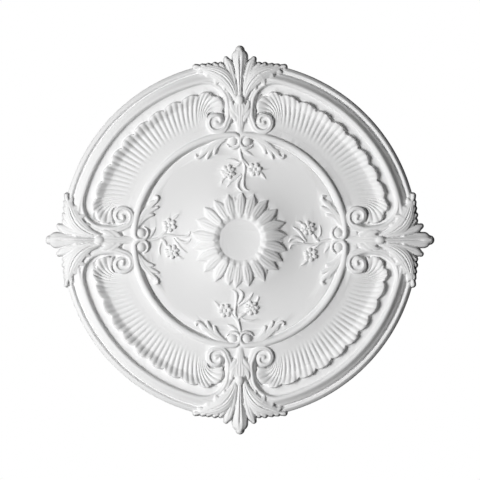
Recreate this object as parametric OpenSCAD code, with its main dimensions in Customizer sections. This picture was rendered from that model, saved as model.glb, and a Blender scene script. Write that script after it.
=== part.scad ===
// Ceiling rose, one moulded casting: a plain round rim, a scrolled frame with four fluted
// shell panels, a ring, a field with four flower sprays, a sunflower, and four palmettes.
// It is fixed with its flat back to the ceiling at z = 0, and the relief faces down.
// The modules draw it face up, with +Y towards one palmette, and ceiling_rose() turns it over.
// Radii run out from the centre, heights are above the back, millimetres throughout.

/* [Sunflower] */
// Radius of the plain disc in the middle
eye_r = 37; // [28:0.5:42]
// Height of the plain disc
eye_h = 44; // [34:0.5:49]
// Radius of the ring of petal crests
crest_r = 46; // [44:0.5:56]
// Height of the petal crests, the deepest point of the rose
crest_h = 50; // [42:0.5:60]
// Radius that the petal tips reach
petal_tip_r = 86; // [74:0.5:100]
// Height of the petal tips
petal_tip_h = 34; // [30:0.5:38]
// Number of petals
petals = 22; // [16:1:26]

/* [Field and ring] */
// Height of the field next to the ring
field_h = 22; // [18:0.5:26]
// Height of the field where it meets the petals
field_top_h = 32; // [26:0.5:34]
// Radius of the ring's crown
ring_r = 188.5; // [160:0.5:226]
// Width of the ring
ring_w = 16; // [12:0.5:20]
// Height of the ring
ring_h = 33; // [28:0.5:40]
// Radius of the ball in each curled end of the ring
ball_r = 8.5; // [6:0.5:10]
// Distance of each ball from the palmette's centre line
ball_x = 12.5; // [11:0.5:15]

/* [Shell panels] */
// Width of the plain band outside the ring's crown
band_w = 20.5; // [17:0.5:25]
// Height of the plain band
band_h = 25; // [22:0.5:30]
// Length of the flutes, from the band to the lip
flute_l = 67; // [56:0.5:80]
// Flutes in one panel
flutes = 24; // [20:2:36]
// Depth of a flute below its ribs
flute_d = 3; // [1:0.1:4]
// Height of the hollow of the shell
trough_h = 19; // [18:0.5:22]
// Height of the scalloped lip
lip_h = 27; // [24:0.5:32]
// Scallops in one panel's lip
scallops = 14; // [8:1:18]
// How far a scallop stands out
scallop_d = 6; // [2:0.5:8]

/* [Scroll frame] */
// Width of the channel between the lip and the frame's crown
channel_w = 13; // [10:0.5:18]
// Height of the channel's floor
channel_h = 16.5; // [12:0.5:17]
// Width of the frame's band
frame_w = 10; // [7:0.5:12]
// Height of the frame
frame_h = 30; // [26:0.5:36]
// Angle from a palmette's centre line at which the frame starts to bend in
shoulder_angle = 14.8; // [13:0.1:18]
// Radius of the frame's bend
shoulder_r = 44; // [37:0.5:52]
// Radius of a volute's outer turn
volute_r = 18.5; // [15:0.5:22]
// Height of a volute
volute_h = 34; // [28:0.5:40]
// Distance of a volute's eye from the palmette's centre line
volute_x = 41.5; // [37:0.5:50]
// Distance of a volute's eye from the ring's crown
volute_gap = 23; // [20:0.5:28]

/* [Rim] */
// Width of the rim, from the frame's crown to the edge
rim_w = 32; // [26:0.5:40]
// Width of the rolled edge
roll_w = 13.5; // [8:0.5:18]
// Height of the rolled edge
roll_h = 20; // [16:0.5:24]
// Height of the bottom of the groove inside the rolled edge
groove_h = 17; // [12:0.5:18]

/* [Palmettes] */
// How far a palmette's tip stands out past the rim
palm_out = 29; // [20:0.5:36]
// Height of the lobes where they are fullest
palm_h = 36; // [32:0.5:42]
// Height of the tips
palm_tip_h = 19; // [14:0.5:22]
// Radius of the bud at the lobes' foot
bud_r = 8; // [6:0.5:10]

/* [Flower sprays] */
// Radius of the left flower
left_flower_r = 12; // [9:0.5:14]
// Radius of the right flower
right_flower_r = 11; // [9:0.5:14]
// Height of the flowers above the field
flower_h = 8; // [5:0.5:11]
// Half width of the stem
stem_w = 2.2; // [1.6:0.1:3]

/* [Hidden] */

band_r = ring_r + band_w;
lip_r = band_r + flute_l;
frame_r = lip_r + channel_w;
rim_r = frame_r + rim_w;
palm_tip_r = rim_r + palm_out;
volute_y = ring_r + volute_gap;
shoulder_c = polar(frame_r - shoulder_r, shoulder_angle);

sides = 36;               // flats round the turned body
buried = 5;               // height at which the applied shapes' hidden feet end
sunk = 1.2;               // depth of an applied shape's edges below the ground it stands on
rose = "WhiteSmoke";

// Sections across an applied shape: [place from -1 to 1, share of the rise below its top]
reed = [[-1, 1], [0, 0], [1, 1]];
reeds = [[-1, 1], [-0.6, 0.2], [-0.3, 0.6], [0, 0], [0.3, 0.6], [0.6, 0.2], [1, 1]];

function mix(a, b, t) = a + (b - a) * t;
// A point at a radius and an angle clockwise from +Y
function polar(r, angle) = [r * sin(angle), r * cos(angle)];
function swap(p) = concat([p.y, p.x], [for (i = [2:1:len(p) - 1]) p[i]]);
function flip(list) = [for (i = [len(list) - 1:-1:0]) list[i]];

// The height of the field, which swells like a bell towards the sunflower
function field_at(r) =
    let (t = max(0, min(1, (ring_r - ring_w / 2 - r) / (ring_r - ring_w / 2 - petal_tip_r))))
    mix(field_h, field_top_h, pow(t, 2.2));

// One cross section of an applied shape; s holds stations of [x, y, top, half width]
function across(s, i) =
    let (a = s[max(0, i - 1)], b = s[min(len(s) - 1, i + 1)], d = [b.x - a.x, b.y - a.y])
    [-d.y, d.x] / norm(d);
function cut(s, i, section, rise, foot) =
    let (n = across(s, i), p = s[i], w = p[3], right = section[0], left = section[len(section) - 1])
    [
        for (c = section) [p.x + n.x * w * c.x, p.y + n.y * w * c.x, p.z - rise * c.y],
        for (c = [left, right]) [p.x + n.x * w * c.x, p.y + n.y * w * c.x, foot]
    ];

// A shape applied along a path, with its foot inside the body
module applied(s, section, rise, foot = buried) {
    m = len(section) + 2;
    last = len(s) - 1;
    points = [for (i = [0:last]) each cut(s, i, section, rise, foot)];
    walls = [
        for (i = [0:last - 1], j = [0:m - 1])
            let (a = i * m + j, b = i * m + (j + 1) % m)
            each [[a, b, b + m], [a, b + m, a + m]]
    ];
    ends = [[for (j = [m - 1:-1:0]) j], [for (j = [0:m - 1]) last * m + j]];
    polyhedron(points, concat(walls, ends));
}

// The stations of a leaf from p to q, bowed to its left, fullest at a share of its length
function leaf_stations(p, q, bow, w, heights, full, n) =
    let (d = q - p, left = [-d.y, d.x] / norm(d))
    [
        for (k = [0:n])
            let (
                t = k / n,
                at = p + d * t + left * bow * 4 * t * (1 - t),
                swell = t < full
                    ? mix(0.45, 1, sin(90 * t / full))
                    : max(0.25, cos(90 * pow((t - full) / (1 - full), 1.4))),
                top = mix(mix(heights[0], heights[1], t), mix(heights[1], heights[2], t), t)
            )
            [at.x, at.y, top, w * swell]
    ];
module leaf(p, q, bow, w, heights, full = 0.55, n = 2, section = reed, rise = 7, foot = buried) {
    applied(leaf_stations(p, q, bow, w, heights, full, n), section, rise, foot);
}

// A closed solid under a grid of points: columns run outwards, and follow each other clockwise
module relief(columns, foot = buried) {
    m = len(columns[0]);
    n = len(columns) - 1;
    top = [for (column = columns) each column];
    count = len(top);
    under = [for (p = top) [p.x, p.y, foot]];
    over = [
        for (i = [0:n - 1], j = [0:m - 2])
            let (a = i * m + j)
            each [[a, a + 1, a + m + 1], [a, a + m + 1, a + m]]
    ];
    edge = [
        for (j = [0:m - 2]) j,
        for (i = [0:n - 1]) i * m + m - 1,
        for (j = [m - 1:-1:1]) n * m + j,
        for (i = [n:-1:1]) i * m
    ];
    e = len(edge);
    walls = [
        for (i = [0:e - 1])
            let (a = edge[i], b = edge[(i + 1) % e])
            each [[b, a, a + count], [b, a + count, b + count]]
    ];
    polyhedron(concat(top, under), concat(over, [[for (a = flip(edge)) a + count]], walls));
}

// A closed solid under rings of points, which run clockwise and follow each other outwards
module boss(rings, foot = buried) {
    n = len(rings[0]);
    all = concat(rings, [[for (p = rings[len(rings) - 1]) [p.x, p.y, foot]]]);
    last = (len(all) - 1) * n;
    bands = [
        for (j = [0:len(all) - 2], i = [0:n - 1])
            let (a = j * n + i, b = j * n + (i + 1) % n)
            each [[a, a + n, b + n], [a, b + n, b]]
    ];
    polyhedron([for (ring = all) each ring], concat([[for (i = [0:n - 1]) i]], bands,
        [[for (i = [n - 1:-1:0]) last + i]]));
}

// Draws its children in four places round the centre, or eight with mirror images
module quarters() {
    for (angle = [0:90:270]) rotate(angle) children();
}
module eighths() {
    quarters() {
        children();
        mirror([1, 0]) children();
    }
}

// The turned body: rolled edge, groove, slope, channel, band and field
module body() {
    ring_in = ring_r - ring_w / 3;
    groove_r = rim_r - roll_w;
    color(rose) rotate(180 / sides) rotate_extrude($fn = sides) polygon([
        [0, 0],
        [rim_r, 0],
        [rim_r, roll_h - 5],
        [rim_r - 3, roll_h - 0.5],
        [groove_r + 3, roll_h],
        [groove_r, groove_h],
        [frame_r + 2.5, mix(groove_h, frame_h, 0.6)],
        [frame_r, channel_h],
        [band_r + 0.5, channel_h],
        [band_r, band_h],
        [ring_in, band_h],
        [ring_in, field_h],
        [mix(ring_in, petal_tip_r, 0.6), field_at(mix(ring_in, petal_tip_r, 0.6))],
        [petal_tip_r, field_top_h],
        [0, field_top_h]
    ]);
}

// The sunflower: a plain disc in a ring of petals that arch from their crests down to their tips
module sunflower() {
    // Radius and height along a petal's middle and along the dip between two petals
    middle = [[eye_r, eye_h], [crest_r, crest_h],
        [mix(crest_r, petal_tip_r, 0.5), mix(petal_tip_h, crest_h, 0.72)], [petal_tip_r, petal_tip_h]];
    dip = [[eye_r, eye_h], [crest_r, crest_h - 4],
        [mix(crest_r, petal_tip_r, 0.5), mix(petal_tip_h, crest_h, 0.3)],
        [mix(crest_r, petal_tip_r, 0.72), petal_tip_h - 4]];
    color(rose) boss([
        for (j = [0:len(middle) - 1]) [
            for (i = [0:2 * petals - 1])
                let (p = i % 2 == 0 ? middle[j] : dip[j])
                concat(polar(p.x, i * 180 / petals), [p.y])
        ]
    ]);
}

// A quarter of the ring, each end curled round a ball
module ring() {
    curl = ball_r + ring_w * 0.2;
    start = ring_r - ring_w * 0.72;
    end_turn = [
        for (angle = [250:-90:70])
            [ball_x + curl * cos(angle), start + curl * sin(angle),
             mix(ring_h - 6, ring_h, (250 - angle) / 180), ring_w * mix(0.12, 0.3, (250 - angle) / 180)]
    ];
    arc = [for (angle = [9:12:45]) concat(polar(ring_r, angle), [ring_h, ring_w / 2])];
    half = concat(end_turn, arc);
    whole = concat(half, [for (i = [len(half) - 2:-1:0]) swap(half[i])]);
    color(rose) applied(whole, reed, ring_h - field_h + sunk);
    color(rose) for (p = [[ball_x, start], [start, ball_x]])
        translate([p.x, p.y, ring_h - ball_r - 1]) sphere(ball_r, $fn = 6);
}

// The leaf that springs from a curled end of the ring and rolls over at its tip
module offshoot() {
    root = [ball_x + ball_r, ring_r - ring_w * 0.6];
    tip = polar(ring_r - 28, 27);
    top = field_h + 8;
    color(rose) leaf(root, tip, -7, 9, [ring_h - 4, top + 3, top - 2], full = 0.6);
}

// A volute's turns, as n spans of a spiral that winds in to its eye
function volute(n) = [
    for (k = [0:n])
        let (turn = 415 * k / n, r = volute_r * (1 - pow(turn / 480, 1.6)), angle = 191 + turn)
        [volute_x + r * cos(angle), volute_y + r * sin(angle),
         volute_h, frame_w * mix(0.5, 0.35, k / n)]
];
// Half of a frame: the big arc, the bend, the neck and the volute
function half_frame() = concat(
    [for (angle = [45:-11:shoulder_angle + 1]) concat(polar(frame_r, angle), [frame_h, frame_w / 2])],
    [for (turn = [90 - shoulder_angle:26:181])
        [shoulder_c.x + shoulder_r * cos(turn), shoulder_c.y + shoulder_r * sin(turn), frame_h, frame_w / 2]],
    [[volute_x - volute_r - 4, volute_y + 10, mix(frame_h, volute_h, 0.5), frame_w / 2]],
    volute(6)
);
module frame() {
    half = half_frame();
    whole = concat(flip(half), [for (i = [1:len(half) - 1]) swap(half[i])]);
    color(rose) applied(whole, reed, frame_h - channel_h + sunk);
}

// The share of half a shell's lip that lies on the bend
function bend_share() =
    let (bend = (shoulder_r - channel_w) * (105 + shoulder_angle) * PI / 180)
    bend / (bend + lip_r * (45 - shoulder_angle) * PI / 180);
// The shell's lip, s from 0 at the volute to 1 in the middle of the panel
function lip_at(s) =
    let (k = bend_share())
    s < k
        ? let (turn = mix(195, 90 - shoulder_angle, s / k),
               r = shoulder_r - channel_w + 6 * pow(1 - s / k, 2))
          shoulder_c + r * [cos(turn), sin(turn)]
        : polar(lip_r, mix(shoulder_angle, 45, (s - k) / (1 - k)));
// Where a flute starts, just inside the band's edge
function foot_at(s) =
    let (k = bend_share())
    polar(band_r - 3, s < k ? mix(15.5, 19.7, s / k) : mix(19.7, 45, (s - k) / (1 - k)));
// A flute's line, t from 0 at the band to 1 at the lip, bowed round the volute
function flute_at(s, t) =
    let (
        a = foot_at(s),
        b = lip_at(s),
        d = b - a,
        bulge = 37 * pow(1 - s, 2.8),
        c = (a + b) / 2 + [d.y, -d.x] / norm(d) * bulge
    )
    mix(mix(a, c, t), mix(c, b, t), t);
// The hollow of the shell along a flute
function shell_h(t) =
    t < 0.62
        ? mix(band_h - 1.5, trough_h, pow(sin(90 * t / 0.62), 1.3))
        : mix(trough_h, lip_h, 1 - cos(90 * (t - 0.62) / 0.38));
// A point of the shell, x from 0 to 2 across the panel, on a rib or in the flute beside it
function shell_point(x, t, rib) =
    let (
        s = 1 - abs(1 - x),
        wave = scallops * x / 2,
        scallop = scallop_d * (sqrt(abs(sin(180 * wave))) - 0.6) * pow(t, 4),
        a = flute_at(s, t),
        b = flute_at(s, t - 0.01),
        p = a + (a - b) / norm(a - b) * scallop,
        z = shell_h(t) + (rib ? 0.5 : -0.5) * flute_d * min(1, 3 * t)
    )
    x <= 1 ? [p.x, p.y, z] : [p.y, p.x, z];

// One fluted shell panel, with its scalloped lip
module shell() {
    n = 2 * flutes;
    color(rose) relief([
        for (i = [0:n]) [for (t = [0, 0.5, 1]) shell_point(2 * i / n, t, i % 2 == 0)]
    ]);
}

// A palmette: lobes that fan out from one foot, with a rolled knob beside them
module palmette() {
    // Where each lobe of the right half ends, and the notch after it: [x, y, height]
    tips = [
        [0, palm_tip_r, palm_tip_h], [25, rim_r + 7, palm_tip_h + 2], [35, rim_r - 4, palm_tip_h + 4],
        [50, rim_r - 5, roll_h + 4], [69, frame_r + 17, roll_h + 6], [57, frame_r + 1, frame_h + 1]
    ];
    notches = [
        [16, rim_r + 4, roll_h], [29, rim_r - 2, roll_h], [42, rim_r - 5, roll_h],
        [60, rim_r - 8, roll_h], [61, frame_r + 9, roll_h + 4], [38, frame_r - 14, frame_h - 4]
    ];
    half = [for (k = [0:5]) each [vein(tips[k], k, 1), vein(notches[k], k + 0.5, 0)]];
    right = [for (i = [1:len(half) - 1]) half[i]];
    left = [for (column = flip(right)) [for (p = column) [-p.x, p.y, p.z]]];
    color(rose) relief(concat(left, [half[0]], right), foot = 0);
    color(rose) mirrored() hull() {
        translate([71, frame_r + 16, buried]) cylinder(h = roll_h - 2, r1 = 6, r2 = 4, $fn = 6);
        translate([80, frame_r + 24, 0]) cylinder(h = roll_h + 1, r1 = 4, r2 = 3, $fn = 6);
    }
}
// A line from the palmette's foot to a tip, along a lobe's crest (up = 1) or between two lobes
function vein(tip, k, up) =
    let (
        foot = [k * 2.2, band_r + 48 - k * 2],
        d = [tip.x, tip.y] - foot,
        bow = k * 2.4,
        middle = foot + d * 0.65 + [-d.y, d.x] / norm(d) * bow,
        drop = up == 1 ? 0 : 5
    )
    [
        [foot.x, foot.y, palm_h - 8 - drop],
        [middle.x, middle.y, palm_h - drop],
        tip
    ];

// The bud at the palmette's foot, and the reeded calyx that holds it
module calyx() {
    top = band_r + 50;
    stalk = [
        [0, ring_r + 5, band_h + 3, 7],
        [0, mix(ring_r + 5, top, 0.65), palm_h - 2, 18],
        [0, top, palm_h - 7, 6]
    ];
    color(rose) applied(stalk, reeds, 9);
    color(rose) translate([0, top - 6, palm_h - 10]) scale([1, 1.3, 1]) sphere(bud_r, $fn = 6);
}
module mirrored() {
    children();
    mirror([1, 0]) children();
}

// A flower with five petals and a raised heart
module flower(x, y, r) {
    z = field_at(norm([x, y]));
    shares = [[0.5, 0.36, 1.2], [1, 0.76, 0.3]];
    color(rose) translate([x, y, 0]) boss([
        for (share = shares) [
            for (i = [0:9])
                concat(polar(r * (i % 2 == 0 ? share[0] : share[1]), i * 36), [z + flower_h * share[2]])
        ]
    ]);
}

// A spray: stem with two flowers, a leaf above each, and twigs at its foot
module spray() {
    root = ring_r - 20;
    stem = [
        for (p = [[1, root], [4, root - 30], [8, root - 55], [5, root - 74]])
            [p.x, p.y, field_at(norm(p)) + 4, stem_w]
    ];
    color(rose) {
        applied(stem, reed, 5);
        twig([0, root - 2], [-18, root - 8], 3, 2.5);
        twig([2, root - 24], [-28, root - 26], -7, 3.5);
        twig([7, root - 42], [-20, root - 73], 6, 4);
    }
    flower(-21, root - 46, left_flower_r);
    flower(26, root - 40, right_flower_r);
}
module twig(p, q, bow, w) {
    z = field_at(norm(mix(p, q, 0.5)));
    leaf(p, q, bow, w, [z + 4, z + 5, z + 1], rise = 4);
}

module ceiling_rose() {
    rotate([180, 0, 0]) union() {
        body();
        sunflower();
        quarters() {
            ring();
            frame();
            shell();
            palmette();
            calyx();
            spray();
        }
        eighths() offshoot();
    }
}

ceiling_rose();
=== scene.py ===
"""A moulded ceiling rose: one primed casting, flat back up, relief facing down.

The casting is drawn face on. u runs to the right, v runs up towards one palmette and h is the
height above the flat back, all in millimetres. The room frame is (u, -v, -h) in metres.
All but the sunflower and the flower sprays repeats in eight mirrored wedges, so it is worked out
once for points folded into one wedge: x is the smaller and y the larger of |u| and |v|.
"""
import math

import bpy
import numpy as np
from mathutils import Euler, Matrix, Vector


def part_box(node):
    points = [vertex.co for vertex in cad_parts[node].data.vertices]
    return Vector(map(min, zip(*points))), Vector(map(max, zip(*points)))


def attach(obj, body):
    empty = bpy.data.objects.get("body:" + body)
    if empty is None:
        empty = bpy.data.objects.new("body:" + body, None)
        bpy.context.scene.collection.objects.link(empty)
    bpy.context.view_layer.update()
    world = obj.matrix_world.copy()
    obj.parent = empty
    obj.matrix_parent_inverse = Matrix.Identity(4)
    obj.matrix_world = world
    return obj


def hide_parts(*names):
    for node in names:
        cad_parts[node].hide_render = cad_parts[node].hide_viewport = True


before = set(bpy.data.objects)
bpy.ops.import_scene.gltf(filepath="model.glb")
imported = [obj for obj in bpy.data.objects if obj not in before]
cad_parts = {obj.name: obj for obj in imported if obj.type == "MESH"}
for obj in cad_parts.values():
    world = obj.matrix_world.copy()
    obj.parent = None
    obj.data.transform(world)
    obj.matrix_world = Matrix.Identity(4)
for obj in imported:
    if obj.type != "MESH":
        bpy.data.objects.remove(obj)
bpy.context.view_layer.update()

NODE = "ceiling_rose"
_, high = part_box(NODE)
TIP_TO_CENTRE = 350                # a palmette's tip from the centre
MM = high.x / TIP_TO_CENTRE        # one millimetre of the drawing, in metres
STEP = 0.9                         # spacing of the drawing grid
REACH = 353                        # half width of the drawing grid
VOID = -1e3                        # height where nothing is drawn
LOWEST = -14                       # the lowest height kept on the grid, well past the flat back
SPARE = 30                         # how far the uncut solid reaches past the flat back
ROOM_DEPTH = 80                    # depth of the box that cuts the casting out of it
TRIANGLES = 188000
PER_SPAN = 8                       # points worked out along each span of a curve

# Radii and heights of the turned body
EYE_R, EYE_H = 37, 44
CREST_R, CREST_H = 45.5, 50
TIP_R, TIP_H = 85.5, 34
FIELD_H, FIELD_TOP_H = 22, 32
RING_R, RING_W, RING_H = 190, 5.8, 31.5
STEP_R = 179.6                     # edge of the field, where a small cove climbs to the ring
BAND_R, BAND_H = 209, 25
LIP_R = 270.5
FRAME_R, FRAME_H = 293.4, 29.5
ROLL_H, EDGE_H = 20.5, -12         # the rim's roll, and outside the edge, past the back
CHANNEL_H, FLOOR_H = 20.8, 14      # the channel inside the frame, and the hidden floor of the shell
SHOULDER, SHOULDER_R = 14.8, 44    # where the frame bends in beside a palmette
VOLUTE, VOLUTE_R = (41.5, 211.5), 18.5
BUTTON, BUTTON_R = (42.5, 210), 3.6
BALL, BALL_R, CURL_R = (12.4, 177), 8.6, 12.2
FLUTES, SCALLOPS = 36, 12
FLATTEN = 0.66                     # scale of the sprays' heights above the field
PETALS, PETAL_SEED = 22, 4

# The turned body as radius: height, from the centre out
PROFILE = {
    # the plain disc, and the floor under the petals
    0: EYE_H, EYE_R - 1: EYE_H, EYE_R + 0.6: EYE_H + 0.6, EYE_R + 5: 47, CREST_R: 46.5, 50: 41,
    58: 36.5, 72: 33.6, TIP_R: FIELD_TOP_H,
    # a groove and a small cove between the field and the ring
    STEP_R: FIELD_H, STEP_R + 0.8: FIELD_H - 2.2, STEP_R + 2: FIELD_H - 2.2, STEP_R + 3: FIELD_H + 1,
    STEP_R + 4.6: BAND_H - 0.8, STEP_R + 6: BAND_H - 0.4,
    # the band, the floor hidden under the shells, and the channel
    RING_R: BAND_H, BAND_R - 1: BAND_H, BAND_R + 1: BAND_H - 1, BAND_R + 5: FLOOR_H, 262: FLOOR_H,
    267: CHANNEL_H, 283: CHANNEL_H, 287: CHANNEL_H + 0.6, 288.6: CHANNEL_H + 2.2,
    # the frame, and the slope outside it
    291.4: 28, FRAME_R: FRAME_H, 295.2: 29, 297: 27.8, 299: 25.6, 301: 23.5, 303: 22, 305: 21,
    306: 20.6,
    # a groove, the rim's roll, its outer step and the edge
    307.3: 15.6, 308.9: 15.4, 310.2: 18.4, 311.6: 20, 313.2: ROLL_H, 314.8: 20.1, 316.8: 17.6,
    318: 16.7, 319.6: 15.8, 320.3: 14.6, 320.5: 3, 320.8: EDGE_H, 360: EDGE_H,
}


# ---------------------------------------------------------------- shape functions

def mix(a, b, t):
    """a at t = 0 and b at t = 1, in a straight line."""
    return a + (b - a) * t


def ease(t):
    """3t^2 - 2t^3, held at 0 and 1 outside that span."""
    t = np.clip(t, 0, 1)
    return t * t * (3 - 2 * t)


def bump(x, width):
    """exp(-(x/width)^2): a soft hill 1 high."""
    return np.exp(-(x / width) ** 2)


def polar(r, degrees):
    """The point at radius r and an angle clockwise from +v."""
    a = np.radians(degrees)
    return np.stack(np.broadcast_arrays(r * np.sin(a), r * np.cos(a)), -1)


def curve(stations):
    """A smooth curve through stations of [x, y, half width, top]: each span is the cubic
    p + t(q-o)/2 + t^2(o - 5p/2 + 2q - r/2) + t^3(3(p-q) + r - o)/2 of its four neighbours."""
    s = np.array(stations, float)
    s = np.concatenate([2 * s[:1] - s[1:2], s, 2 * s[-1:] - s[-2:-1]])
    o, p, q, r = s[:-3, None], s[1:-2, None], s[2:-1, None], s[3:, None]
    t = (np.arange(PER_SPAN) / PER_SPAN)[None, :, None]
    c = (p + t * (q - o) / 2 + t ** 2 * (o - 2.5 * p + 2 * q - r / 2)
         + t ** 3 * (3 * (p - q) + r - o) / 2)
    return np.concatenate([c.reshape(-1, s.shape[1]), s[-2:-1]])


def carried(x, y, stations, section, wall=4.5):
    """A section carried along a curve: top(t) - section(s, t) - wall * (distance past the edge),
    where t is the share of the curve's length and s is the distance to its left over the half width."""
    path = curve(stations)
    a, d = path[:-1], np.diff(path, axis=0)
    span = np.hypot(d[:, 0], d[:, 1])
    along = np.concatenate([[0], np.cumsum(span)]) / span.sum()
    out = np.full(x.shape, float(VOID))
    fade = 14                          # how far past its edge a shape is still worked out
    edge = path[:, 2].max() + fade
    near = ((x > path[:, 0].min() - edge) & (x < path[:, 0].max() + edge)
            & (y > path[:, 1].min() - edge) & (y < path[:, 1].max() + edge))
    px, py = x[near], y[near]
    best = np.full(px.shape, 1e9)
    row = np.zeros((4,) + px.shape)
    for i in range(len(d)):
        dx, dy = px - a[i, 0], py - a[i, 1]
        k = np.clip((dx * d[i, 0] + dy * d[i, 1]) / span[i] ** 2, 0, 1)
        far = (dx - k * d[i, 0]) ** 2 + (dy - k * d[i, 1]) ** 2
        side = np.where(d[i, 0] * dy - d[i, 1] * dx >= 0, 1.0, -1.0)
        closer = far < best
        best = np.where(closer, far, best)
        here = (side, mix(along[i], along[i + 1], k), a[i, 2] + k * d[i, 2], a[i, 3] + k * d[i, 3])
        row = np.where(closer, np.stack(here), row)
    side, t, width, top = row
    gap = np.sqrt(best)
    s = np.clip(side * gap / width, -1, 1)
    out[near] = top - section(s, t) - wall * np.maximum(gap - width, 0)
    return out


def crowned(drop):
    """Section: drop * s^2."""
    return lambda s, t: drop * np.abs(s) ** 2.0


def veined(drop, groove, width=0.16):
    """Section: a crown with one groove along its middle."""
    return lambda s, t: drop * np.abs(s) ** 2.2 + groove * bump(s, width) * ease(8 * t) * ease(4 * (1 - t))


def join(*heights):
    """The highest of several shapes at each point."""
    return np.maximum.reduce(heights)


# ---------------------------------------------------------------- turned body

def field_at(r):
    """The field: a bell that swells from the ring to the sunflower as t^3."""
    t = np.clip((STEP_R - r) / (STEP_R - TIP_R), 0, 1)
    return mix(FIELD_H, FIELD_TOP_H, t ** 3)


def turned(r):
    """The turned body: straight lines between the circles of PROFILE, with the bell of the field
    between the petals and the ring, rounded over about 1 mm by a moving mean."""
    at = np.array(list(PROFILE), float)
    fine = np.arange(0, 500, 0.1)
    h = np.interp(fine, at, np.array(list(PROFILE.values()), float))
    inside = (fine > TIP_R) & (fine < STEP_R)
    h = np.where(inside, field_at(fine), h)
    kernel = np.hanning(11)
    h = np.convolve(np.pad(h, 5, mode="edge"), kernel / kernel.sum(), "valid")
    return np.interp(r, fine, h)


# ---------------------------------------------------------------- sunflower

def sunflower(u, v):
    """Two rows of pointed petals. Along a petal the top climbs to the crest as a square root and
    falls from there to the tip as t^1.35. Across it the height falls as |s|^2.4, with two veins
    and a tilt, so that one side lies over the next petal. Length, turn, lift, tilt and bend vary."""
    rng = np.random.default_rng(PETAL_SEED)
    r, a = np.hypot(u, v), np.degrees(np.arctan2(u, v)) % 360
    out = np.full(u.shape, float(VOID))
    pitch = 360 / PETALS
    # A petal's half width at shares of its length
    reach = {-1: 4.6, 0: 4.8, 0.15: 5.6, 0.35: 7.3, 0.55: 8.3, 0.72: 7.6, 0.86: 4.9, 0.96: 1.9, 1: 0.5}
    for row in range(2):
        turn = rng.uniform(-0.13, 0.13, PETALS) * pitch
        longer = rng.uniform(-2.5, 1, PETALS)
        lift = rng.uniform(-0.8, 0.8, PETALS)
        lean = rng.uniform(0.3, 1.3, PETALS) * rng.choice([-1, 1, 1], PETALS)
        bend = rng.uniform(-4, 4, PETALS)
        for k in range(PETALS):
            middle = (k + 0.5 * (1 - row)) * pitch + turn[k]
            tip = TIP_R + longer[k] - 5 * (1 - row)
            t = (r - EYE_R) / (tip - EYE_R)
            off = (a - middle - bend[k] * np.clip(t, 0, 1) ** 3 + 180) % 360 - 180
            across = r * np.sin(np.radians(off))
            half = np.interp(t, list(reach), list(reach.values())) * (0.94 + 0.06 * row)
            s = np.clip(across / half, -1, 1)
            top = np.where(
                r < CREST_R,
                mix(EYE_H - 1, CREST_H, np.sqrt(np.clip((r - EYE_R) / (CREST_R - EYE_R), 0, 1))),
                mix(CREST_H, TIP_H + 0.6, np.clip((r - CREST_R) / (tip - CREST_R), 0, 1) ** 1.35))
            veins = (1.25 * (bump(s - 0.32, 0.13) + bump(s + 0.32, 0.13))
                     * ease(4 * (t - 0.12)) * ease(3 * (1 - t)))
            drop = (2.1 * np.abs(s) ** 2.4 + veins + lean[k] * s * ease(3 * t)
                    + 2.2 * bump(t - 0.13, 0.06) * s ** 2)
            h = top + lift[k] - drop - 2.4 * np.maximum(np.abs(across) - half, 0)
            h = h - (1 - row) * 2.4 - 3.5 * np.maximum(r - tip, 0)
            out = np.where((np.abs(off) < 30) & (r > EYE_R - 1) & (r < 95), np.maximum(out, h), out)
    return out


# ---------------------------------------------------------------- ring and its leaves

def ring(x, y):
    """The ring's part in the wedge: a tube with a section of 6.4(1 - sqrt(1 - 0.96 s^2)), on an arc
    that turns in beside the palmette's foot and curls round a ball."""
    arc = [[*polar(RING_R, p), RING_W, RING_H] for p in (49, 45, 40, 35, 30, 25, 20, 15, 11)]
    curl = [[BALL[0] + CURL_R * math.cos(math.radians(q)), BALL[1] + CURL_R * math.sin(math.radians(q)), w, h]
            for q, w, h in ((74, 4.8, 32.5), (112, 4.2, 32.5), (150, 3.8, 32), (190, 3.5, 31),
                            (230, 3.2, 30), (270, 2.8, 29), (305, 2, 27.5), (335, 1.1, 26))]
    tube = carried(x, y, arc + curl, lambda s, t: 6.4 * (1 - np.sqrt(1 - 0.96 * s * s)), wall=3)
    gap = np.hypot(x - BALL[0], y - BALL[1])
    dome = 1 - np.sqrt(np.clip(1 - (gap / BALL_R) ** 2, 0, 1))
    round_ball = RING_H - 7 * dome - 4 * np.maximum(gap - BALL_R, 0)
    return join(tube, round_ball)


def offshoot(x, y):
    """The leaf that springs from a curled end: a veined blade whose tip hooks back, and three
    lobes on its lower side."""
    base = FIELD_H
    blade = [[19, 184, 2.2, base + 6.5], [28, 182, 3, base + 6.8], [38, 178, 3.7, base + 6.4],
             [47, 172.5, 4.1, base + 6], [56, 165, 4, base + 5.6], [63, 157.5, 3.5, base + 5.6],
             [69, 151, 2.9, base + 5.8], [74, 147.4, 2.4, base + 6.2], [78, 148.6, 2.2, base + 6.2],
             [78.5, 152, 1.4, base + 5.4]]
    leaf = carried(x, y, blade, veined(2.2, 1.2, 0.2), wall=3.5)
    lobes = [
        carried(x, y, [[27, 180, 2.2, base + 5.5], [36, 174, 3.5, base + 5.6], [42.5, 166, 3.8, base + 5.6],
                       [45.4, 156.5, 2.6, base + 5.6]], veined(2.2, 1.0, 0.2), wall=3.5),
        carried(x, y, [[42, 173, 2.4, base + 5], [49, 165.5, 3.5, base + 5.2], [54.5, 156.5, 3.4, base + 5.2],
                       [58.6, 147.4, 2.2, base + 5.4]], veined(2.2, 1.0, 0.2), wall=3.5),
        carried(x, y, [[59, 164, 2, base + 4.4], [66, 160, 2.3, base + 4.2], [70, 155.5, 1.1, base + 3.6]],
                veined(1.8, 0.8, 0.2), wall=3.5),
    ]
    return join(leaf, *lobes)


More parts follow.
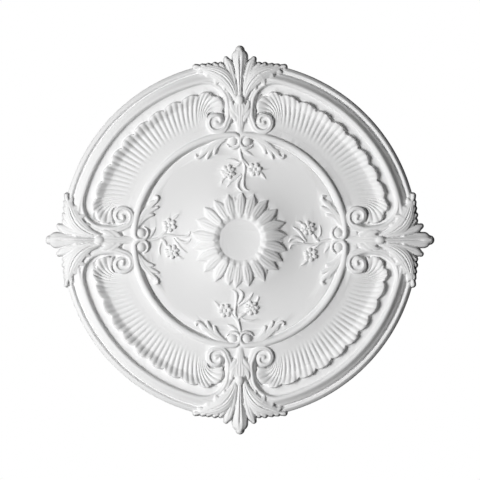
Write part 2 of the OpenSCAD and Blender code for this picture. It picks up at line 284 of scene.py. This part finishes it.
# ---------------------------------------------------------------- scrolled frame

def frame_line():
    """The frame's middle line: the big arc, the bend round the shoulder, the neck and a spiral
    whose radius is R(1 - (turn/480)^1.6)."""
    c = polar(FRAME_R - SHOULDER_R, SHOULDER)
    arc = [[*polar(FRAME_R, p), 4.6, FRAME_H] for p in (50, 45, 40, 35, 30, 25, 20, 17)]
    bend = [[c[0] + SHOULDER_R * math.cos(math.radians(q)), c[1] + SHOULDER_R * math.sin(math.radians(q)),
             mix(4.8, 5.8, (q - 75) / 105), mix(FRAME_H, 30.5, (q - 75) / 105)]
            for q in (75, 92, 109, 126, 143, 160, 177)]
    neck = [[VOLUTE[0] - VOLUTE_R - 4.5, VOLUTE[1] + 12, 5.6, 31.2]]
    coil = []
    for turn in range(0, 441, 22):
        r = VOLUTE_R * (1 - (turn / 480) ** 1.6)
        a = math.radians(191 + turn)
        coil.append([VOLUTE[0] + r * math.cos(a), VOLUTE[1] + r * math.sin(a),
                     2.5 + 2.8 * (1 - turn / 440) ** 2.2, mix(31.5, 33, turn / 440)])
    return arc + bend + neck + coil


def scroll(x, y):
    """The frame's band: one crown on the big arc, and from the bend on two ridges with a groove
    between them. Beside it lie a ledge at the channel's height and the ground under the volute,
    and a button stands in the volute's eye."""
    def section(s, t):
        bent = ease((t - 0.34) * 9)
        plain = 3.2 * np.abs(s) ** 1.8
        double = 2.8 * np.abs(s) ** 3 + 2.0 * bump(s + 0.15, 0.28) + 1.0 * ease(-s * 1.4)
        return mix(plain, double, bent)
    line = frame_line()
    band = carried(x, y, line, section, wall=4)
    before_coil = line[:17]
    ledge = carried(x, y, [[p[0], p[1], 21 - 0.8 * i, CHANNEL_H] for i, p in enumerate(before_coil)],
                    lambda s, t: 6 * ease(-2 * s))
    eye = np.hypot(x - BUTTON[0], y - BUTTON[1])
    button = 33 - 2.5 * (eye / BUTTON_R) ** 2
    round_eye = np.hypot(x - VOLUTE[0], y - VOLUTE[1])
    ground = 29 - 0.1 * round_eye - 5 * np.maximum(round_eye - 12, 0)
    return join(band, ledge, np.where(eye < 4, button, VOID), ground)


# ---------------------------------------------------------------- fluted shell

def bend_share():
    """The share of half a shell's lip that lies on the bend: the two arcs' lengths compared."""
    bend = (LIP_R - FRAME_R + SHOULDER_R + 9) * math.radians(105 + SHOULDER)
    return bend / (bend + LIP_R * math.radians(45 - SHOULDER))


def lip_at(s):
    """The shell's lip, from the volute at s = 0 round the bend and along the arc to s = 1."""
    k = bend_share()
    turn = np.radians(mix(195, 90 - SHOULDER, s / k))
    q = np.clip(s / k, 0, 1)
    r = LIP_R - FRAME_R + SHOULDER_R + 14.5 * (1 - q) ** 2.2
    c = polar(FRAME_R - SHOULDER_R, SHOULDER)
    bend = c + np.stack([r * np.cos(turn), r * np.sin(turn)], -1)
    return np.where((s < k)[..., None], bend, polar(LIP_R, mix(SHOULDER, 45, (s - k) / (1 - k))))


def foot_at(s):
    """Where a flute starts on the band's edge, evenly spread along each part of the lip."""
    k = bend_share()
    return polar(BAND_R - 1, np.where(s < k, mix(15.5, 19.7, s / k), mix(19.7, 45, (s - k) / (1 - k))))


def flute_at(s, t):
    """A flute's line: a parabola from its foot to the lip, bowed by 37(1 - s)^2.8 round the volute."""
    a, b = foot_at(s), lip_at(s)
    d = b - a
    right = np.stack([d[..., 1], -d[..., 0]], -1) / np.linalg.norm(d, axis=-1, keepdims=True)
    c = (a + b) / 2 + right * (37 * np.abs(1 - s) ** 2.8)[..., None]
    t = t[..., None]
    return mix(mix(a, c, t), mix(c, b, t), t)


def shell_height(s, t):
    """The shell along a flute: it falls from the band by an eased curve, rises again to the lip, and
    ends 12 mm down past it. Ribs are |cos|^0.9 across the flutes, and the lip's ruffle is |sin|
    across the scallops, growing over the last part of the flute."""
    fall = mix(BAND_H - 0.6, 22, ease(t / 0.66))
    rise = 7.6 * ease((t - 0.71) / 0.27) * mix(0.55, 1, ease(3 * s))
    deep = ease(2.1 * (t - 0.04)) * (1 - 0.3 * ease((t - 0.8) / 0.2))
    rib = 2.8 * (np.abs(np.cos(np.pi * FLUTES / 2 * s)) ** 0.9 - 0.62) * deep
    wave = np.abs(np.sin(np.pi * SCALLOPS / 2 * s))
    ruffle = 3.2 * (wave - 0.5) * ease((t - 0.72) / 0.28)
    beyond = 12 * ease((t - 1) / 0.025)
    return fall + rise + rib + ruffle - beyond


def shell(shape):
    """Half a shell panel on the drawing grid: points along its flutes are spread over the four
    grid points round each, and the height is worked out from their mean s and t."""
    s, t = np.meshgrid(np.linspace(-0.02, 1.04, 1100), np.linspace(0, 1.05, 300))
    p = flute_at(s, t)
    ahead = flute_at(s, t + 0.01) - p
    ahead /= np.linalg.norm(ahead, axis=-1, keepdims=True)
    wave = np.abs(np.sin(np.pi * SCALLOPS / 2 * s))
    p = p + ahead * (6.5 * (np.sqrt(wave) - 0.62) * t ** 4)[..., None]
    gx, gy = p[..., 0] / STEP, p[..., 1] / STEP
    ix, iy = np.floor(gx).astype(int), np.floor(gy).astype(int)
    total = np.zeros((3, shape[0] * shape[1]))
    for ox in (0, 1):
        for oy in (0, 1):
            cx, cy = ix + ox, iy + oy
            w = np.maximum(0, 1 - np.abs(gx - cx)) * np.maximum(0, 1 - np.abs(gy - cy))
            ok = (cx >= 0) & (cx < shape[1]) & (cy >= 0) & (cy < shape[0])
            cell = (cy * shape[1] + cx)[ok]
            for layer, value in enumerate((w, w * s, w * t)):
                total[layer] += np.bincount(cell, value[ok], shape[0] * shape[1])
    weight = total[0].reshape(shape)
    filled = weight > 0.3
    weight = np.maximum(weight, 1e-6)
    h = shell_height(total[1].reshape(shape) / weight, total[2].reshape(shape) / weight)
    return np.where(filled, h, VOID)


# ---------------------------------------------------------------- palmette

def palmette(x, y):
    """The half of a palmette in the wedge: a grooved spade in the middle, three narrow lobes beside
    it, a broad folded leaf that sweeps over the rim to a knob, with a crest of lobes on its outer
    side and a skirt of lobes on its inner side, and a reeded calyx with cheek, ear and bud."""
    def spade(s, t):
        a = np.abs(s)
        return (6.2 * a ** 2.6 + 3.4 * bump(a, 0.1) * ease(6 * t) * ease(7 * (0.9 - t))
                - 0.7 * bump(a - 0.27, 0.13) + 0.7 * bump(a - 0.62, 0.12) * ease(4 * t))
    middle = carried(x, y, [[0, 258, 3, 33], [0, 270, 4.2, 34], [0, 285, 5.8, 33], [0, 300, 8.2, 31.5],
                            [0, 314, 11, 28.5], [0, 322, 12.8, 27], [0, 330, 13.2, 26],
                            [0, 335, 12.4, 25], [0, 338.6, 10, 24], [0, 341.2, 7.2, 23]], spade, wall=12)
    second = carried(x, y, [[7, 264, 2.4, 32], [10, 282, 3.6, 32], [14.5, 299, 5.4, 30], [19, 313, 6.2, 27],
                            [22.6, 320.5, 5.8, 24.5], [25, 325.4, 3.4, 22]], veined(3, 1.4, 0.16), wall=10)
    third = carried(x, y, [[10, 266, 2.2, 32], [15, 282, 3.2, 32], [22, 297, 4.4, 30], [28.5, 309, 4, 26.5],
                           [32.5, 314.5, 1.6, 23]], veined(2.6, 1.0, 0.18), wall=8)
    fourth = carried(x, y, [[12, 266, 2.2, 31], [19, 282, 3.4, 32], [28, 296, 4.8, 30], [37, 304.5, 4.6, 26],
                            [44, 309, 2.4, 22]], veined(2.4, 0.9, 0.18), wall=5)

    def blade(s, t):
        a = np.abs(s)
        folds = np.cos(2 * np.pi * (3.1 * a + 0.5 * t)) * ease(6 * (a - 0.08)) * (1 - 0.7 * a)
        upper = 4.4 * a ** 2 - 1.1 * folds
        lower = 2.2 * a ** 2 - 0.9 * folds
        return np.where(s > 0, upper, lower) + 2.6 * bump(s - 0.06, 0.07) * ease(7 * t) * ease(4 * (1 - t))
    leaf = carried(x, y, [[8, 252, 3, 31], [12, 267, 7, 33], [19, 280, 10.4, 34.5], [29, 291.5, 12.8, 34.5],
                          [41, 299, 12.4, 32.5], [53, 303.6, 10, 30], [63, 306.4, 7, 27.5], [71, 309, 3, 25]],
                   blade, wall=6)
    crest_lobes = [
        ([[27, 300, 3, 29], [31, 309, 4.6, 27.5], [34.5, 315, 3.2, 25]], 2.4, 1.1),
        ([[37, 303, 3, 29], [41, 310.5, 4.8, 27.5], [45, 315, 3.2, 25.2]], 2.4, 1.1),
        ([[49, 305, 3, 28], [53, 310.5, 4.4, 27], [57, 313.4, 3, 25]], 2.2, 1.0),
        ([[60, 307, 2.6, 27], [64.5, 311, 3.8, 26], [68, 312.6, 2.6, 24.8]], 2, 0.9),
    ]
    crest = [carried(x, y, lobe, veined(drop, groove, 0.2), wall=9) for lobe, drop, groove in crest_lobes]
    skirt_lobes = [
        [[36, 293, 4.6, 34], [41, 285, 5, 32.5], [44, 278.5, 2.2, 31]],
        [[53, 300, 5, 29.5], [57, 293.5, 4.6, 29], [58.6, 290, 1.8, 27.5]],
        [[64, 306, 3.6, 26], [69.5, 303, 3.8, 26], [74, 301, 1.6, 24.5]],
        [[23, 281, 4, 33], [27, 273, 4.2, 32], [27.5, 269.5, 2, 31]],
    ]
    skirt = [carried(x, y, lobe, veined(1.8, 0.8)) for lobe in skirt_lobes]
    knob = carried(x, y, [[69, 308, 3, 24], [75, 310.6, 3.4, 24.5], [80, 311, 3.8, 24.5]],
                   lambda s, t: 5 * (1 - np.sqrt(1 - 0.9 * s * s)), wall=10)

    def reeded(s, t):
        return 2.4 * np.abs(s) ** 2.5 + 1.0 * (1 - np.cos(np.pi * 5 * s)) / 2
    calyx = carried(x, y, [[0, 192, 5.5, 28], [0, 205, 6.8, 29.5], [0, 220, 9.6, 31.5], [0, 231, 13.4, 33],
                           [0, 239, 13.4, 33.5], [0, 246, 8.4, 33]], reeded, wall=3.5)
    cheek = carried(x, y, [[6, 226, 3.6, 32], [11.5, 235, 4.6, 33], [15, 243.5, 3.2, 32.5],
                           [15, 249, 1.2, 31]], veined(2, 1.0, 0.2), wall=3.5)
    ear = carried(x, y, [[8, 216, 3.2, 31], [14, 227, 4, 31.8], [18.5, 235, 1.8, 30.8]],
                  veined(2, 0.9, 0.2), wall=3.5)
    off = np.hypot(x / 7.4, (y - 251.5) / 9)
    egg = 30 + 7 * np.sqrt(np.clip(1 - off ** 2, 0, 1)) - 20 * np.maximum(off - 1, 0)
    bud = np.where(off < 1.3, egg, VOID)
    return join(middle, second, third, fourth, leaf, knob, calyx, cheek, ear, bud, *skirt, *crest)


# ---------------------------------------------------------------- flower sprays

def blossom(u, v, cx, cy, radius, petals, turn, rise):
    """A flower: a ring of petals round a domed heart. Each petal is a low dome with a crease, of
    height rise + 0.12 * (distance outwards) - 2.6 s^2, where s is the distance from the petal's
    middle over its half length and half width."""
    out = np.full(u.shape, float(VOID))
    for k in range(petals):
        q = math.radians(turn + 360 * k / petals)
        du, dv = u - cx - 0.66 * radius * math.sin(q), v - cy - 0.66 * radius * math.cos(q)
        outward, across = du * math.sin(q) + dv * math.cos(q), du * math.cos(q) - dv * math.sin(q)
        s = np.hypot(outward / 0.36, across * petals / 1.85) / radius
        h = (rise + 0.12 * outward - 2.6 * s ** 2 - 1.0 * bump(across, 0.8)
             - 7 * np.maximum(s - 1, 0) * radius * 0.4)
        out = join(out, h)
    d = np.hypot(u - cx, v - cy)
    heart = rise + 0.8 - 4.5 * (d / (0.28 * radius)) ** 2
    return np.where(d < radius * 1.6, join(out, heart), VOID)


def twig(u, v, stations):
    """A small leaf on the field: a veined section with notched edges along a curve, narrowed to
    three quarters of the stations' widths."""
    def section(s, t):
        notch = 0.8 * np.maximum(0, np.cos(2 * np.pi * (5 * t - 0.6 * np.abs(s)))) * np.abs(s)
        return veined(2.2, 1.0, 0.2)(s, t) + notch
    narrow = np.array(stations, float) * [1, 1, 0.76, 1]
    return carried(u, v, narrow, section, wall=4)


def spray(u, v):
    """One spray, as height above the field, all of it scaled by FLATTEN: a bent stem with a branch,
    eight small leaves, and two flowers, the left one with an inner ring of petals."""
    stem = carried(u, v, [[0, 168, 1.9, 5], [0, 160, 2, 5.4], [2, 150, 2, 5.4], [5, 141, 1.9, 5.4],
                          [8.6, 133, 1.9, 5.4], [8.4, 124, 1.8, 5.4], [7, 115, 1.8, 5],
                          [6, 107, 1.4, 4.4]], crowned(2))
    branch = carried(u, v, [[2.6, 148, 1.6, 4.8], [9, 140, 1.6, 4.8], [17, 131, 1.4, 4.6]], crowned(1.8))
    leaves = [twig(u, v, stations) for stations in (
        [[2, 165, 2.4, 5], [9, 159.6, 3.4, 5.6], [16, 155, 3, 5.2], [22.5, 151.4, 1, 3.5]],
        [[4, 144, 1.8, 4.6], [0, 138, 2.8, 5.4], [-5, 134, 3, 5.4], [-10, 132, 1.4, 4]],
        [[-3, 140, 1.6, 4], [-10, 143.6, 2.2, 4.4], [-18, 144.6, 2.2, 4.2], [-26, 143, 0.9, 3]],
        [[2, 118, 1.6, 4.4], [-7, 112, 2.6, 5], [-15.4, 106, 3, 4.8], [-20, 100, 2.4, 4.2],
         [-23, 95, 0.9, 3]],
        [[3, 114, 2, 5], [-2.6, 106, 3, 5.8], [-4.8, 98, 3, 5.8], [-2, 91.6, 2.2, 5], [2.6, 88, 1, 3.6]],
        [[7, 112, 2, 5], [6, 103, 2.8, 5.8], [6.6, 96, 2.8, 5.6], [10, 91.4, 2, 4.8], [15, 89, 0.9, 3.4]],
        [[35, 123, 1.8, 4.4], [39, 118, 3, 5], [42.4, 113.6, 2.6, 4.6], [46, 109.4, 0.9, 3]],
        [[-28, 112, 2, 4.4], [-32, 107, 2.6, 4.6], [-33, 101, 0.9, 3]])]
    flowers = [blossom(u, v, -21, 122, 12.6, 7, 10, 8.5), blossom(u, v, -20, 121, 7, 4, 30, 10.5),
               blossom(u, v, 26.5, 126.5, 12, 6, 22, 8.5)]
    return FLATTEN * join(stem, branch, *leaves, *flowers)


# ---------------------------------------------------------------- casting

def soften(h):
    """Blends each grid point with its neighbours as (1, 6, 1)/8 along both axes."""
    for axis in (0, 1):
        h = 0.75 * h + 0.125 * (np.roll(h, 1, axis) + np.roll(h, -1, axis))
    return h


def blurred(h, span):
    """The mean of h over a square about span points wide, run three times so it nears a bell."""
    n = 2 * (span // 2) + 1
    for _ in range(3):
        for axis in (0, 1):
            pad = [(n // 2 + 1, n // 2) if k == axis else (0, 0) for k in (0, 1)]
            c = np.cumsum(np.pad(h, pad, mode="edge"), axis=axis)
            h = (np.take(c, range(n, c.shape[axis]), axis) - np.take(c, range(c.shape[axis] - n), axis)) / n
    return h


def relief_heights():
    """The height of every point of the drawing grid."""
    n = int(REACH / STEP)
    steps = np.arange(n + 1)
    wedge = steps[:, None] >= steps[None, :] - 2
    x = (steps[None, :] * STEP * np.ones((n + 1, 1)))[wedge]
    y = (steps[:, None] * STEP * np.ones((1, n + 1)))[wedge]
    r = np.hypot(x, y)
    flat = join(turned(r), ring(x, y), offshoot(x, y), scroll(x, y), palmette(x, y))
    table = np.full((n + 1, n + 1), float(VOID))
    table[wedge] = flat
    table = np.maximum(table, np.where(wedge, shell(table.shape), VOID))
    i = np.abs(np.arange(-n, n + 1))
    h = table[np.maximum(i[:, None], i[None, :]), np.minimum(i[:, None], i[None, :])]
    c = np.arange(-n, n + 1) * STEP
    u, v = np.meshgrid(c, c)
    close = np.hypot(u, v) < 100
    h[close] = np.maximum(h[close], sunflower(u[close], v[close]))
    window = (np.abs(u) < 60) & (v > 80) & (v < 185)
    lone = np.full(h.shape, float(VOID))
    lone[window] = spray(u[window], v[window]) + field_at(np.hypot(u, v))[window]
    for k in range(4):
        h = np.maximum(h, np.rot90(lone, k))
    return u, v, soften(np.maximum(h, LOWEST))


def grid_solid(name, u, v, h):
    """A closed solid on the grid: the relief on one side, a flat face SPARE past the back on the
    other, and walls between."""
    rows, cols = h.shape
    top = np.stack([u * MM, -v * MM, -h * MM], -1).reshape(-1, 3)
    index = np.arange(rows * cols).reshape(rows, cols)
    a, b, c, d = index[:-1, :-1], index[:-1, 1:], index[1:, 1:], index[1:, :-1]
    quads = np.stack([a, b, c, d], -1).reshape(-1, 4)
    turn = ((a + (a // cols)) % 2 == 0).reshape(-1)
    one = np.where(turn[:, None], quads[:, [0, 1, 2]], quads[:, [0, 1, 3]])
    two = np.where(turn[:, None], quads[:, [0, 2, 3]], quads[:, [1, 2, 3]])
    edge = np.concatenate([index[0, :-1], index[:-1, -1], index[-1, :0:-1], index[:0:-1, 0]])
    under = top[edge].copy()
    under[:, 2] = SPARE * MM
    middle = np.array([[0, 0, SPARE * MM]])
    below = np.arange(len(edge)) + len(top)
    after = np.roll(np.arange(len(edge)), -1)
    centre = len(top) + len(edge)
    walls = np.concatenate([
        np.stack([edge, below, edge[after]], -1), np.stack([edge[after], below, below[after]], -1),
        np.stack([below[after], below, np.full(len(edge), centre)], -1)])
    points = np.concatenate([top, under, middle])
    faces = np.concatenate([one, two, walls])
    return mesh_of(name, points, faces)


def mesh_of(name, points, faces):
    """A mesh object from whole arrays of corners and triangles."""
    mesh = bpy.data.meshes.new(name)
    mesh.vertices.add(len(points))
    mesh.vertices.foreach_set("co", np.ascontiguousarray(points, np.float32).ravel())
    mesh.loops.add(faces.size)
    mesh.loops.foreach_set("vertex_index", np.ascontiguousarray(faces, np.int32).ravel())
    mesh.polygons.add(len(faces))
    mesh.polygons.foreach_set("loop_start", np.arange(0, faces.size, 3, dtype=np.int32))
    mesh.polygons.foreach_set("loop_total", np.full(len(faces), 3, np.int32))
    mesh.update(calc_edges=True)
    mesh.validate()
    obj = bpy.data.objects.new(name, mesh)
    bpy.context.scene.collection.objects.link(obj)
    return obj


def corners_of(obj):
    """The mesh's corners as an array."""
    co = np.zeros(len(obj.data.vertices) * 3, np.float32)
    obj.data.vertices.foreach_get("co", co)
    return co.reshape(-1, 3).astype(float)


def apply_modifier(obj, kind, **settings):
    """Adds one modifier with its settings and applies it."""
    m = obj.modifiers.new(kind.title(), kind)
    for key, value in settings.items():
        setattr(m, key, value)
    bpy.context.view_layer.objects.active = obj
    bpy.ops.object.modifier_apply(modifier=m.name)


def box_solid(name, lowest, highest):
    """A plain box with its corners at lowest and highest."""
    k = np.array([[i >> 2 & 1, i >> 1 & 1, i & 1] for i in range(8)])
    points = np.array(lowest) * (1 - k) + np.array(highest) * k
    faces = np.array([[0, 1, 3], [0, 3, 2], [4, 6, 7], [4, 7, 5], [0, 4, 5], [0, 5, 1],
                      [2, 3, 7], [2, 7, 6], [0, 2, 6], [0, 6, 4], [1, 5, 7], [1, 7, 3]])
    return mesh_of(name, points, faces)


def sampled(grid, x, y):
    """The grid's value at points between its own, in straight lines both ways."""
    n = (grid.shape[0] - 1) / 2
    gx, gy = np.clip(x / MM / STEP + n, 0, 2 * n - 1e-6), np.clip(-y / MM / STEP + n, 0, 2 * n - 1e-6)
    ix, iy = gx.astype(int), gy.astype(int)
    fx, fy = gx - ix, gy - iy
    return (mix(grid[iy, ix], grid[iy, ix + 1], fx) * (1 - fy)
            + mix(grid[iy + 1, ix], grid[iy + 1, ix + 1], fx) * fy)


def casting():
    """The casting: the grid's solid cut flat at the back, thinned and smooth shaded. The attribute
    recess keeps how far a point lies below its surroundings, from -1 to 1: six tenths from the
    mean over 9 grid points and four tenths from the mean over 25."""
    u, v, h = relief_heights()
    rose = grid_solid("ceiling_rose_casting", u, v, h)
    wide = 2 * REACH * MM
    room = box_solid("room", (-wide, -wide, -ROOM_DEPTH * MM), (wide, wide, 0))
    apply_modifier(rose, "BOOLEAN", operation="INTERSECT", object=room, solver="MANIFOLD")
    bpy.data.objects.remove(room)
    count = sum(len(p.vertices) - 2 for p in rose.data.polygons)
    apply_modifier(rose, "DECIMATE", ratio=TRIANGLES / count, use_collapse_triangulate=True)
    co = corners_of(rose)
    # recess drives the material's painted shade in the hollows and painted highlight on the high edges.
    base = np.maximum(h, 0)
    recess = (np.clip((blurred(base, 9) - base) / 3, -1, 1) * 0.6
              + np.clip((blurred(base, 25) - base) / 8, -1, 1) * 0.4)
    value = sampled(recess, co[:, 0], co[:, 1]) * (co[:, 2] < -0.5 * MM)
    mark = rose.data.attributes.new("recess", "FLOAT", "POINT")
    mark.data.foreach_set("value", value.astype(np.float32))
    rose.data.polygons.foreach_set("use_smooth", np.ones(len(rose.data.polygons), bool))
    rose.data.set_sharp_from_angle(angle=math.radians(50))
    print("casting triangles", len(rose.data.polygons))
    return rose


# ---------------------------------------------------------------- materials

class Value:
    """A socket that can be written in sums: each operator adds one Math node."""

    def __init__(self, maker, socket):
        self.maker, self.socket = maker, socket

    def _with(self, operation, *others):
        sockets = {i: o for i, o in enumerate(others)}
        return self.maker.node("ShaderNodeMath", {"operation": operation}, sockets)

    def __add__(self, other):
        return self._with("ADD", self, other)

    __radd__ = __add__

    def __mul__(self, other):
        return self._with("MULTIPLY", self, other)

    def __sub__(self, other):
        return self._with("SUBTRACT", self, other)

    def __rsub__(self, other):
        return self._with("SUBTRACT", other, self)

    def clamped(self):
        """Held between 0 and 1."""
        return self.maker.node("ShaderNodeClamp", {}, {"Value": self})


class Finish:
    """One material and the one method that adds any node to it."""

    def __init__(self, name):
        self.material = bpy.data.materials.new(name)
        self.material.use_nodes = True
        self.tree = self.material.node_tree
        self.shader = self.tree.nodes["Principled BSDF"]

    def node(self, kind, settings, sockets, out=0):
        """Adds a node: settings first, then the values or links of its sockets."""
        made = self.tree.nodes.new(kind)
        for key, value in settings.items():
            setattr(made, key, value)
        self.feed(made, sockets)
        return Value(self, made.outputs[out])

    def feed(self, made, sockets):
        """Links or sets a node's sockets by name or number."""
        for key, value in sockets.items():
            if isinstance(value, Value):
                self.tree.links.new(value.socket, made.inputs[key])
            else:
                made.inputs[key].default_value = value

    def place(self):
        """Object coordinates, in metres."""
        return self.node("ShaderNodeTexCoord", {}, {}, "Object")

    def noise(self, scale, detail=3.0, roughness=0.5):
        """A grain from 0 to 1 with this many lumps a metre."""
        return self.node("ShaderNodeTexNoise", {}, {
            "Vector": self.place(), "Scale": scale, "Detail": detail, "Roughness": roughness}, "Fac")

    def blend(self, amount, first, second):
        """Mixes two colours."""
        made = self.tree.nodes.new("ShaderNodeMix")
        made.data_type = "RGBA"
        self.feed(made, {0: amount, 6: first, 7: second})
        return Value(self, made.outputs[2])


def primed_foam():
    """Matt white primer on moulded foam: faint rolled stipple, fine pores, painted shade as a grey tint
    in the hollows, and a painted highlight as a paler tint on the high edges, which are also smoother."""
    f = Finish("primed_foam")
    recess = f.node("ShaderNodeAttribute", {"attribute_name": "recess"}, {}, "Fac")
    patches = f.noise(9.0, 4.0, 0.6)
    stipple = f.noise(900.0, 2.0, 0.6)
    pores = f.node("ShaderNodeTexVoronoi", {"feature": "F1"},
                   {"Vector": f.place(), "Scale": 420.0}, "Distance")
    pits = (1 - pores * 5.0).clamped() * (f.noise(60.0) * 4 - 2.1).clamped()
    # Painted shade: where the surface lies below its surroundings, with random patches, the colour is tinted
    # grey.
    painted_shade_mask = (recess * 0.9 + patches * 0.24 - 0.1).clamped()
    # Painted highlight: where the surface stands above its surroundings the colour is tinted paler; there it
    # is also smoother.
    painted_highlight_mask = (recess * -1.1 - 0.12 + (patches - 0.5) * 0.3).clamped()
    # The second colour is the painted shade and the third the painted highlight.
    cream, painted_shade_grey, painted_highlight_grey = (0.80, 0.80, 0.795, 1), (0.56, 0.56, 0.56, 1), (0.86, 0.86, 0.86, 1)
    tone = f.blend(painted_shade_mask * 0.55, cream, painted_shade_grey)
    tone = f.blend(painted_highlight_mask * 0.7, tone, painted_highlight_grey)
    tone = f.blend(pits * 0.12, tone, (0.5, 0.5, 0.5, 1))
    rough = 0.56 + painted_shade_mask * 0.16 - painted_highlight_mask * 0.12 + (stipple - 0.5) * 0.08
    height = stipple * 0.35 + f.noise(240.0, 3.0, 0.55) * 0.8 - pits * 0.8
    relief = f.node("ShaderNodeBump", {}, {"Strength": 0.16, "Distance": 0.0004, "Height": height}, "Normal")
    f.feed(f.shader, {"Base Color": tone, "Roughness": rough, "Normal": relief, "IOR": 1.46,
                      "Specular IOR Level": 0.35})
    return f.material


# ---------------------------------------------------------------- studio

def sheet(name, width, z, colour, glow):
    """A plain square sheet of the studio at height z, with a glow of its own."""
    k = width / 2
    points = np.array([[-k, -k, z], [k, -k, z], [k, k, z], [-k, k, z]])
    faces = np.array([[0, 1, 2], [0, 2, 3]])
    obj = mesh_of(name, points, faces)
    paint = Finish(name)
    paint.feed(paint.shader, {"Base Color": (*colour, 1), "Roughness": 0.9, "Emission Color": (*colour, 1),
                              "Emission Strength": glow, "Specular IOR Level": 0.1})
    obj.data.materials.append(paint.material)
    return obj


def lamp(name, place, aim, size, power):
    """A square soft light of this size in metres and power in watts, that points at aim."""
    data = bpy.data.lights.new(name, "AREA")
    data.shape, data.size, data.energy = "SQUARE", size, power
    obj = bpy.data.objects.new(name, data)
    obj.location = place
    obj.rotation_euler = (Vector(aim) - Vector(place)).to_track_quat("-Z", "Y").to_euler()
    obj.visible_camera = False
    bpy.context.scene.collection.objects.link(obj)
    return obj


def studio():
    """A pale floor far below and a white room, which the camera sees but which don't light the
    casting, a strong soft light from the left, a weak fill, and a light on the flat back."""
    floor = sheet("floor", 40, -7.6, (0.82, 0.82, 0.82), glow=1.2)
    floor.visible_diffuse = floor.visible_glossy = False
    centre = (0, 0, -0.03)
    lamp("key", (-3.1, 0.4, -3.72), centre, size=1.6, power=264)
    lamp("fill", (0.3, 0.1, -2.7), centre, size=1.8, power=3)
    lamp("back_light", (-0.5, -0.6, 2.3), centre, size=1.6, power=42)
    world = bpy.context.scene.world or bpy.data.worlds.new("studio")
    bpy.context.scene.world = world
    world.use_nodes = True
    world.node_tree.nodes["Background"].inputs["Color"].default_value = (1, 1, 1, 1)
    world.node_tree.nodes["Background"].inputs["Strength"].default_value = 1.0
    world.cycles_visibility.diffuse = world.cycles_visibility.glossy = False


def camera():
    """A camera straight below, looking up, with the casting's +v side at the top of the frame."""
    data = bpy.data.cameras.new("camera")
    away = 7.0                         # metres from the ceiling
    lens_per_metre = 41.7              # keeps the framing the same at any distance
    data.lens = lens_per_metre * away
    data.clip_end = 60
    obj = bpy.data.objects.new("camera", data)
    obj.location = (0, 0, -away)
    obj.rotation_euler = Euler((math.pi, 0, 0))
    bpy.context.scene.collection.objects.link(obj)
    bpy.context.scene.camera = obj


camera()
studio()
rose = casting()
rose.data.materials.append(primed_foam())
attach(rose, "root")
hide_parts(NODE)
bpy.context.scene.view_settings.view_transform = "Standard"
